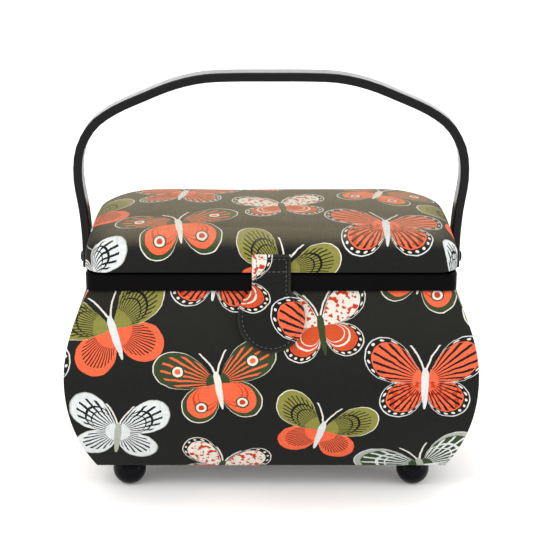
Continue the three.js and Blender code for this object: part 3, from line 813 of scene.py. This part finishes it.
def puffed(obj, pressure, pinned, cap):
    """Runs a cloth simulation that blows the piece up from inside. No point sinks into the filling or
    moves by more than cap."""
    mesh = obj.data
    before = np.array([v.co for v in mesh.vertices])
    outward = np.array([v.normal for v in mesh.vertices])
    group = obj.vertex_groups.new(name="held")
    group.add([int(n) for n in pinned], 1.0, "REPLACE")
    cloth = obj.modifiers.new("cloth", "CLOTH")
    cloth.settings.quality = 6
    cloth.settings.mass = 0.3
    cloth.settings.tension_stiffness = 30
    cloth.settings.compression_stiffness = 30
    cloth.settings.shear_stiffness = 12
    cloth.settings.bending_stiffness = 3
    cloth.settings.use_pressure = True
    cloth.settings.uniform_pressure_force = pressure
    cloth.settings.vertex_group_mass = "held"
    cloth.settings.effector_weights.gravity = 0.0
    scene = bpy.context.scene
    for n in range(1, 21):
        scene.frame_set(n)
    ready = obj.evaluated_get(bpy.context.evaluated_depsgraph_get())
    after = np.array([v.co for v in ready.data.vertices])
    obj.modifiers.remove(cloth)
    obj.vertex_groups.remove(group)
    scene.frame_set(1)
    moved = after - before
    moved -= outward * np.minimum((moved * outward).sum(axis=1, keepdims=True), 0.0)
    far = np.linalg.norm(moved, axis=1, keepdims=True)
    after = before + moved * (cap * np.tanh(far / cap) / np.maximum(far, 1e-9))
    mesh.vertices.foreach_set("co", after.ravel())
    mesh.update()


# ---------------------------------------------------------------- the lid's padded cover

LID_CORNER = 0.0155
SHOULDER_IN = 0.014  # how far the rounded shoulder reaches in over the top
SHOULDER_UP = 0.013  # and how far down the side
RIDGE_RISE = 0.0036  # how much fuller the top is between its ends
CROWN_RISE = 0.0014  # and at its very middle
CORNER_DROP = 0.0115  # how much it sinks at its corners
HEM_HELD = 0.004  # the height of the hem that is held to the lid's frame
LID_CELLS = (76, 40)
LID_CUT = (0.030, 0.040)  # where the front hem's middle lies on the printed cloth
LID_LO, LID_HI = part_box("lid_cover")


def lid_cloth_place(p):
    """Where a point of the lid's cover lies on the printed cloth."""
    core = (LID_HI.x - SHOULDER_IN, (LID_HI.y - LID_LO.y) / 2 - SHOULDER_IN)
    middle_y = (LID_LO.y + LID_HI.y) / 2
    x, y = p[0], p[1] - middle_y
    nearest = (max(-core[0], min(core[0], x)), max(-core[1], min(core[1], y)))
    out = (x - nearest[0], y - nearest[1])
    far = math.hypot(*out)
    shoulder_z = LID_HI.z - SHOULDER_UP
    lean = math.atan2(far, max(p[2] - shoulder_z, 1e-6)) if far > 1e-7 else 0.0
    down = lean * (SHOULDER_IN + SHOULDER_UP) / 2 + max(shoulder_z - p[2], 0.0)
    way = (out[0] / far, out[1] / far) if far > 1e-7 else (0.0, 0.0)
    hem_to_core = SHOULDER_IN * math.pi / 2 + (shoulder_z - LID_LO.z)
    u = nearest[0] + way[0] * down
    v = nearest[1] + way[1] * down + core[1] + hem_to_core
    return LID_CUT[0] + u, LID_CUT[1] + v


def crowned(x, y, z):
    """The height of a point of the cushion once its top is crowned: fuller along its middle."""
    across = max(0.0, 1 - (abs(x) / 0.125) ** 4)
    crown = (1 - min(1.0, abs(x) / 0.123) ** 2) * (1 - min(1.0, abs(y) / 0.056) ** 2)
    share = max(0.0, min(1.0, (z - LID_LO.z) / (LID_HI.z - LID_LO.z)))
    corner = max(0.0, (abs(x) - 0.096) / 0.040) ** 2 * min(1.0, abs(y) / 0.068) ** 2
    return z + share * (RIDGE_RISE * across + (CROWN_RISE * crown - CORNER_DROP * corner) * share)


def lid_shell(inset, top, bottom):
    """A closed cushion in the lid's shape: its points, its faces, and how many points are above its
    bottom."""
    plan = Plan(LID_LO, LID_HI, LID_CORNER, *LID_CELLS)
    points = [(x, y, top) for x, y in plan.filled(SHOULDER_IN)]
    faces = grid_faces(LID_CELLS[1] + 1, LID_CELLS[0] + 1)
    ring = plan.rim_numbers()
    shoulder = [
        (inset + (SHOULDER_IN - inset) * (1 - math.sin(a)), top - (SHOULDER_UP - inset) * (1 - math.cos(a)))
        for a in np.linspace(0, math.pi / 2, 7)[1:]
    ]
    wall = [(inset, z) for z in np.linspace(shoulder[-1][1], bottom, 6)[1:]]

    for out, z in shoulder + wall:
        start = len(points)
        points += [(x, y, z) for x, y in plan.loop(out)]
        new = list(range(start, len(points)))
        join_rings(faces, ring, new)
        ring = new
    shown = len(points)
    points += [(x, y, bottom) for x, y in plan.filled(inset + 0.004)]
    faces += [tuple(reversed(f)) for f in grid_faces(LID_CELLS[1] + 1, LID_CELLS[0] + 1, start=shown)]
    join_rings(faces, ring, plan.rim_numbers(shown))
    points = [(x, y, crowned(x, y, z)) for x, y, z in points]
    return points, faces, shown


def make_lid_foam():
    lo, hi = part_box("lid_foam")
    points, faces, _ = lid_shell(LID_HI.x - hi.x + 0.0004, hi.z - 0.0004, lo.z)
    pad = piece("lid_foam_pad", points, faces, FOAM)
    shade_smooth(pad, 50)
    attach(pad, "lid")
    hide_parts("lid_foam")


def make_lid_cover():
    plan = Plan(LID_LO, LID_HI, LID_CORNER, *LID_CELLS)
    points, faces, shown = lid_shell(0.0, LID_HI.z - 0.0003, LID_LO.z)
    cover = piece("lid_padded_cover", points, faces, PRINT)
    pinned = [n for n, p in enumerate(points) if p[2] < LID_LO.z + HEM_HELD]
    puffed(cover, 4.0, pinned, 0.0024)

    shape = bmesh.new()
    shape.from_mesh(cover.data)
    shape.verts.ensure_lookup_table()
    bmesh.ops.delete(shape, geom=[v for v in shape.verts if v.index >= shown], context="VERTS")
    for v in shape.verts:
        x, y, z = v.co
        up = max(0.0, min(1.0, (z - (LID_HI.z - SHOULDER_UP)) / 0.010))
        v.co.z -= up * 0.0011 * (1 - min(1.0, abs(x) / 0.095) ** 2)
        v.co.z += up * ripple(x, y, 0.040, 0.0005)
        corner = min(abs(x) - (LID_HI.x - 0.020), abs(y - plan.middle[1]) - (plan.half[1] - 0.020))
        if corner > 0 and z < LID_HI.z - 0.006:
            deep = y - plan.middle[1]
            away = Vector((x, deep, 0)).normalized()
            turn = math.atan2(abs(deep) - plan.half[1] + LID_CORNER, abs(x) - plan.half[0] + LID_CORNER)
            low = min(1.0, (LID_HI.z - 0.006 - z) / 0.012)
            v.co += away * (0.00035 * low * math.sin(turn * 22.0))
    shape.to_mesh(cover.data)
    shape.free()
    cover.data.update()
    smoothed(cover)
    add_uv(cover.data, [lid_cloth_place(v.co) for v in cover.data.vertices])
    # Painted light: the top is paled where the lamps fall on it, more so towards the back.
    painted_light = []
    for v in cover.data.vertices:
        up = max(0.0, min(1.0, (v.co.z - LID_HI.z + 0.010) / 0.012))
        back = (v.co.y - LID_LO.y) / (LID_HI.y - LID_LO.y)
        painted_light.append(up * up * (3 - 2 * up) * (0.62 + 0.38 * back))
    add_painted_light(cover.data, painted_light)
    thicken(cover, CLOTH, 0.0003)
    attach(cover, "lid")
    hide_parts("lid_cover")


make_lid_foam()
make_lid_cover()

# ---------------------------------------------------------------- the closing tab

PATCH_LO, PATCH_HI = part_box("tab_patch")
FLAP_LO, FLAP_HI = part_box("closure_tab")
STEM = PATCH_HI.x
DISC = FLAP_HI.x
DISC_Z = FLAP_LO.z + DISC
TAB_CUT = (0.070, 0.100)  # where the disc's middle lies on the printed cloth
SEAM_IN = 0.0034  # the topstitching's distance from the tab's edge
SEAM_SUNK = 0.0008  # how deep and how wide the topstitching draws the cloth in
HALF_THICK = 0.0017
EDGE_ROUND = 0.0017  # how far in from its edge the tab is rounded
PLUMP = 0.0009  # how much the padding lifts the front
PLUMP_OVER = 0.009  # and how far in from the edge it is full
EDGE_HIGHLIGHT = 0.10  # how much the tab's rolled edge is paled: a painted highlight


class TabPath:
    """The tab's back face, down its middle: flat on the lid, across the rim, then over the bulge."""

    def __init__(self):
        top, bottom = PATCH_HI.z, FLAP_LO.z
        z = np.linspace(top, bottom, 400)
        wall = np.array([-DEEP.half(min(h, DEEP.top)) - 0.0008 for h in z])
        lid = PATCH_HI.y - 0.0001
        mix = 1 / (1 + np.exp(-(lid - wall) / 0.0007))
        self.y = lid * (1 - mix) + wall * mix
        self.z = z
        self.s = np.concatenate([[0], np.cumsum(np.hypot(np.diff(z), np.diff(self.y)))])
        self.length = self.s[-1]
        self.disc = float(np.interp(-DISC_Z, -z, self.s))
        self.radius = self.length - self.disc

    def at(self, s):
        """The point at a distance down the tab, and the direction out from it."""
        y, z = np.interp(s, self.s, self.y), np.interp(s, self.s, self.z)
        a, b = max(s - 0.002, 0.0), min(s + 0.002, self.length)
        along = np.array([
            np.interp(b, self.s, self.y) - np.interp(a, self.s, self.y),
            np.interp(b, self.s, self.z) - np.interp(a, self.s, self.z)])
        along /= np.linalg.norm(along)
        return y, z, along[1], -along[0]

    def half_width(self, s):
        disc = math.sqrt(max(DISC**2 - ((s - self.disc) * DISC / self.radius) ** 2, 0.0))
        if s > self.disc:
            return disc
        return (STEM**14 + disc**14) ** (1 / 14)

    def inside(self, x, s):
        """How far a point is inside the tab's edge."""
        from_disc = DISC - math.hypot(x, (s - self.disc) * DISC / self.radius)
        from_stem = min(STEM - abs(x), s) if s < self.disc else -1.0
        return max(from_disc, from_stem, 0.0)


TAB = TabPath()


def tab_point(x, s, front):
    """A point of the tab's front or back face."""
    y, z, out_y, out_z = TAB.at(s)
    depth = TAB.inside(x, s)
    edge = min(depth / EDGE_ROUND, 1.0)
    edge = math.sqrt(max(1 - (1 - edge) ** 2, 0.0))
    if not front:
        lift = HALF_THICK * (1 - edge)
    else:
        body = min(depth / PLUMP_OVER, 1.0)
        plump = PLUMP * body * body * (3 - 2 * body) if s > 0.022 else 0.0002 * body
        seam = SEAM_SUNK * math.exp(-(((depth - SEAM_IN) / SEAM_SUNK) ** 2))
        lift = HALF_THICK * (1 + edge) + plump - seam + ripple(x, s, 0.011, 0.00025) * body
    return x, y + out_y * lift, z + out_z * lift


def make_tab():
    rows = np.concatenate([
        np.linspace(0, 0.002, 5)[:-1], np.linspace(0.002, TAB.disc, 56)[:-1],
        TAB.disc + TAB.radius * np.sin(np.linspace(0, math.pi / 2, 34))])
    columns = 56
    widest = math.pi / 2 * 0.97
    spread = np.sin(np.linspace(-widest, widest, columns + 1)) / math.sin(widest)
    points, uv, wear_and_highlight = [], [], []
    for front in (True, False):
        for s in rows:
            half = TAB.half_width(s)
            for c in spread:
                x = c * half
                points.append(tab_point(x, s, front))
                uv.append((TAB_CUT[0] + x, TAB_CUT[1] + TAB.disc - s))
                # A painted highlight: a pale band just inside the tab's edge, where its roll catches the
                # light.
                wear_and_highlight.append(EDGE_HIGHLIGHT * math.exp(-(((TAB.inside(x, s) - 0.0008) / 0.0009) ** 2)))
    wide = columns + 1
    count = len(rows) * wide
    faces = grid_faces(len(rows), wide)
    faces += [tuple(n + count for n in reversed(f)) for f in grid_faces(len(rows), wide)]
    tab = piece("closing_tab", points, faces, PRINT, uv)
    add_painted_light(tab.data, wear_and_highlight)
    shape = bmesh.new()
    shape.from_mesh(tab.data)
    bmesh.ops.remove_doubles(shape, verts=shape.verts[:], dist=0.00002)
    holes = [e for e in shape.edges if e.is_boundary]
    if holes:
        bmesh.ops.holes_fill(shape, edges=holes, sides=0)
    bmesh.ops.recalc_face_normals(shape, faces=shape.faces[:])
    for f in shape.faces:
        f.smooth = True
    shape.to_mesh(tab.data)
    shape.free()
    return tab


def stitch(points, faces, a, b, out, radius=0.00026):
    """One stitch, a short round-ended bar from a to b that stands out along out."""
    a, b, out = Vector(a), Vector(b), Vector(out)
    along = (b - a).normalized()
    side = along.cross(out).normalized()
    start = len(points)
    sides = 6
    stations = ((0.0, 0.25, -0.6), (0.12, 0.8, 0.2), (0.5, 1.0, 0.75), (0.88, 0.8, 0.2), (1.0, 0.25, -0.6))
    for share, wide, high in stations:
        middle = a.lerp(b, share) + out * (radius * high)
        for k in range(sides):
            turn = 2 * math.pi * k / sides
            points.append(middle + (side * math.cos(turn) + out * math.sin(turn)) * radius * wide)
    faces += grid_faces(len(stations), sides, closed=True, start=start)
    faces.append(tuple(start + k for k in reversed(range(sides))))
    faces.append(tuple(start + (len(stations) - 1) * sides + k for k in range(sides)))


def seam_line():
    """The topstitching's line on the tab, as (x, s) points: down one side, round the disc and up."""
    inner = DISC - SEAM_IN
    side = STEM - SEAM_IN
    neck = math.acos(side / inner)
    join = TAB.disc - inner * math.sin(neck) * TAB.radius / DISC
    down = [(side, s) for s in np.arange(SEAM_IN, join, 0.0004)]
    arc = [
        (inner * math.cos(a), TAB.disc - inner * math.sin(a) * TAB.radius / DISC)
        for a in np.arange(neck, -math.pi - neck, -0.018)
    ]
    return down + arc + [(-x, s) for x, s in reversed(down)]


def stitched(lines, length=0.0024, gap=0.0011):
    """Stitches along (x, s) lines on the tab's front."""
    points, faces = [], []
    for line in lines:
        places = np.array([tab_point(x, s, True) for x, s in line])
        run = np.concatenate([[0], np.cumsum(np.linalg.norm(np.diff(places, axis=0), axis=1))])
        at = gap
        while at + length < run[-1]:
            ends = [
                tuple(np.interp(t, run, places[:, k]) for k in range(3)) for t in (at, at + length)
            ]
            s = float(np.interp(at + length / 2, run, [p[1] for p in line]))
            out = TAB.at(s)[2:]
            stitch(points, faces, ends[0], ends[1], (0, out[0], out[1]))
            at += length + gap
    return points, faces


def make_closing_tab():
    tab = make_tab()
    side = STEM - SEAM_IN
    lower = PATCH_HI.z - PATCH_LO.z - 0.0012
    rows = [[(x, s) for x in np.linspace(-side, side, 60)] for s in (SEAM_IN, lower)]
    points, faces = stitched([seam_line(), *rows])
    thread_piece = piece("tab_stitches", points, faces, THREAD)
    for made in (tab, thread_piece):
        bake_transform(made)
    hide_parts("tab_patch", "closure_tab")


make_closing_tab()

# ---------------------------------------------------------------- inside the lid


def make_lid_lining():
    lo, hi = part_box("lid_lining")
    plan = Plan(lo, hi, 0.0115, 60, 32)
    points = []
    for x, y in plan.filled(0.0002):
        edge = min(plan.half[0] - abs(x), plan.half[1] - abs(y - plan.middle[1]))
        points.append((x, y, lo.z + 0.0002 + ripple(x, y, 0.03, 0.0006) * min(edge / 0.02, 1.0)))
    faces = [tuple(reversed(f)) for f in grid_faces(33, 61)]
    uv = [p[:2] for p in points]
    lining = piece("lid_inner_lining", points, faces, LINING, uv)
    thicken(lining, LINING_THICK)
    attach(lining, "lid")
    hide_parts("lid_lining")


def make_pincushion():
    lo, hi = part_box("pincushion")
    middle = (lo + hi) / 2
    plan = Plan(lo, hi, 0.006, 30, 22)
    back_z = hi.z - 0.0002
    points = [(x, y, back_z) for x, y in plan.filled(0.0012)]
    faces = grid_faces(23, 31)
    ring = plan.rim_numbers()
    for inset, z in ((0.0004, back_z - 0.001), (0.0002, back_z - 0.0022), (0.0012, back_z - 0.0036)):
        start = len(points)
        points += [(x, y, z) for x, y in plan.loop(inset)]
        new = list(range(start, len(points)))
        join_rings(faces, ring, new)
        ring = new
    start = len(points)
    for x, y in plan.filled(0.003):
        points.append((x, y, lo.z + 0.0022))
    join_rings(faces, ring, plan.rim_numbers(start))
    faces += [tuple(reversed(f)) for f in grid_faces(23, 31, start=start)]
    cushion = piece("lid_pincushion", points, faces, CORAL_CLOTH)
    pinned = [n for n, p in enumerate(points) if p[2] > back_z - 0.0015]
    puffed(cushion, 4.0, pinned, 0.0028)
    for v in cushion.data.vertices:
        near = math.hypot(v.co.x - middle.x, v.co.y - middle.y)
        if v.co.z < back_z - 0.002:
            v.co.z += 0.0024 * math.exp(-((near / 0.006) ** 2))
        pleat = math.sin(6 * math.atan2(v.co.y - middle.y, v.co.x - middle.x))
        if v.co.z < back_z - 0.003:
            v.co.z += 0.0004 * pleat * math.exp(-(((near - 0.010) / 0.008) ** 2))
    smoothed(cushion)
    add_uv(cushion.data, [(v.co.x + v.co.z, v.co.y + v.co.z) for v in cushion.data.vertices])
    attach(cushion, "lid")
    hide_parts("pincushion")
    button = lathe(
        "pincushion_button",
        [(0.0012, 0.0), (0.0034, 0.0002), (0.0041, 0.0008), (0.0038, 0.0014), (0.0024, 0.0019),
         (0.0006, 0.0020)],
        (0, 0, 0), LINING, 24)
    add_uv(button.data, [(v.co.x, v.co.y) for v in button.data.vertices])
    near = [v.co.z for v in cushion.data.vertices
            if math.hypot(v.co.x - middle.x, v.co.y - middle.y) < 0.003]
    place = Matrix.Translation((middle.x, middle.y, min(near) + 0.0004))
    button.data.transform(place @ Matrix.Rotation(math.pi, 4, "X"))
    shade_smooth(button, 50)
    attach(button, "lid")


def make_lid_pocket():
    lo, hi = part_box("lid_pocket")
    band_lo, band_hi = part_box("pocket_elastic")
    columns, rows = 150, 40
    points, uv = [], []
    fullness = 1.3
    for j in range(rows):
        v = j / (rows - 1)
        y = band_hi.y - 0.001 + v * (hi.y - band_hi.y + 0.0006)
        pull = math.exp(-v * 3.2)
        for i in range(columns):
            u = i / (columns - 1)
            x = lo.x + 0.0004 + u * (hi.x - lo.x - 0.0008)
            hold = min(1.0, min(u, 1 - u) * 12, (1 - v) * 10)
            wave = math.sin(u * 96 + 2.2 * noise.noise(Vector((u * 7, v * 1.5, 1.0)))) * (0.25 + 0.75 * pull)
            z = hi.z - 0.0004 - hold * (0.0009 + 0.0005 * wave)
            points.append((x, y, z))
            uv.append((x * fullness, y))
    faces = [tuple(reversed(f)) for f in grid_faces(rows, columns)]
    pocket = piece("lid_gathered_pocket", points, faces, LINING, uv)
    thicken(pocket, 0.0005, 0.0002)
    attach(pocket, "lid")
    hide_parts("lid_pocket")

    points, uv = [], []
    rows = 9
    for j in range(rows):
        v = j / (rows - 1)
        y = band_lo.y + 0.0002 + v * (band_hi.y - band_lo.y - 0.0004)
        swell = math.sin(math.pi * v)
        for i in range(columns * 2):
            u = i / (columns * 2 - 1)
            x = band_lo.x + u * (band_hi.x - band_lo.x)
            hold = min(1.0, min(u, 1 - u) * 14)
            rib = 0.00022 * math.sin(u * 290) + 0.00016 * math.cos(v * 19)
            z = band_hi.z - 0.0006 - hold * (0.0007 * swell + rib + 0.0002)
            points.append((x, y, z))
            uv.append((x, y))
    faces = [tuple(reversed(f)) for f in grid_faces(rows, columns * 2)]
    band = piece("pocket_elastic_band", points, faces, CORAL_CLOTH, uv)
    thicken(band, 0.0006, 0.0002)
    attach(band, "lid")
    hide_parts("pocket_elastic")


make_lid_lining()
make_pincushion()
make_lid_pocket()

# ---------------------------------------------------------------- the base's cloths

BASE_CELLS = (60, 28)


def flat_cloth(name, node, upward, swell):
    """A cloth on the base board's upper or under side; swell is how far it lifts between its edges."""
    lo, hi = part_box(node)
    plan = Plan(lo, hi, 0.001, *BASE_CELLS)
    face_z = hi.z - swell - 0.0001 if upward else lo.z + 0.0001
    points = []
    for x, y in plan.filled(0.0002):
        edge = min(plan.half[0] - abs(x), plan.half[1] - abs(y), 0.012) / 0.012
        lift = (swell + ripple(x, y, 0.035, swell)) * edge * 0.6 if upward else 0.0
        points.append((x, y, face_z + lift))
    faces = grid_faces(BASE_CELLS[1] + 1, BASE_CELLS[0] + 1)
    if not upward:
        faces = [tuple(reversed(f)) for f in faces]
    cloth = piece(name, points, faces, LINING, [p[:2] for p in points])
    thicken(cloth, 0.0006)
    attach(cloth, "box")
    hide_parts(node)


flat_cloth("base_inner_lining", "base_lining", True, 0.0004)
flat_cloth("base_under_cloth", "base_cover", False, 0.0)

# ---------------------------------------------------------------- carried-over CAD nodes

for wall in ("front", "back", "left", "right", "base"):
    finish_cad(f"{wall}_board", BOARD)
for name in ("lid_walls", "lid_board"):
    finish_cad(name, BOARD)
for name in ("magnet_plate", "tab_magnet", "hinge_pin_left", "hinge_pin_right"):
    finish_cad(name, STEEL)
for corner in CORNERS:
    finish_cad(f"foot_screw_{corner}", STEEL)
finish_cad("rim_frame", BLACK, bevel=0.0007, angle=32)
finish_cad("lid_frame", BLACK, bevel=0.0004)
finish_cad("handle_bail", HANDLE, bevel=0.0009, angle=40)
for side in ("left", "right"):
    finish_cad(f"handle_pivot_{side}", BLACK, angle=45)
    finish_cad(f"tray_{side}", TRAY, bevel=0.0005)

# ---------------------------------------------------------------- the studio


STRIP_COLOUR = (0.82, 0.92, 1.0)

# Each light's name, place, size and power in watts.
LIGHTS = (
    ("key", (-0.9, -1.3, 1.9), (1.2, 1.2), 15.0),
    ("fill", (1.3, -1.2, 1.3), (1.2, 1.2), 4.0),
    ("backdrop", (0.0, 2.9, 1.1), (2.2, 2.2), 20.0),
    ("top", (0.0, 0.5, 2.2), (1.8, 1.8), 17.0),
    ("strip_right", (1.5, -0.55, 0.45), (0.22, 0.9), 6.0),
    ("strip_left", (-1.5, -0.75, 0.6), (0.22, 0.9), 4.0),
)


def make_floor():
    size = 6.0
    floor_look = Look("floor", roughness=0.9, specular_ior_level=0.1)
    floor_look.set("Base Color", linear("faf8f6"))
    floor_look.shader.inputs["Emission Color"].default_value = linear("fff6f2")
    floor_look.shader.inputs["Emission Strength"].default_value = 0.06
    floor = piece(
        "floor", [(-size, -size, 0), (size, -size, 0), (size, size, 0), (-size, size, 0)], [(0, 1, 2, 3)],
        floor_look.material)


def make_lights():
    world = bpy.data.worlds.new("studio")
    bpy.context.scene.world = world
    world.use_nodes = True
    background = world.node_tree.nodes["Background"]
    background.inputs["Color"].default_value = (1.0, 1.0, 1.0, 1.0)
    background.inputs["Strength"].default_value = 1.0
    for name, at, size, power in LIGHTS:
        data = bpy.data.lights.new(name, "AREA")
        data.shape = "RECTANGLE"
        data.size, data.size_y = size
        data.energy = power
        if name.startswith("strip"):
            data.color = STRIP_COLOUR
        lamp = bpy.data.objects.new(name, data)
        lamp.location = at
        aim = Vector((0, 0, 0.12)) - Vector(at)
        lamp.rotation_euler = aim.to_track_quat("-Z", "Y").to_euler()
        lamp.visible_camera = False
        bpy.context.scene.collection.objects.link(lamp)


def make_camera():
    data = bpy.data.cameras.new("camera")
    data.sensor_width = 36.0
    data.lens = 104.7
    camera = bpy.data.objects.new("camera", data)
    camera.location = (-0.0028, -1.144, 0.530)
    camera.rotation_euler = (math.radians(90 - 17.78), 0, 0)
    bpy.context.scene.collection.objects.link(camera)
    bpy.context.scene.camera = camera


make_camera()
make_floor()
make_lights()
bpy.context.scene.view_settings.view_transform = "Standard"
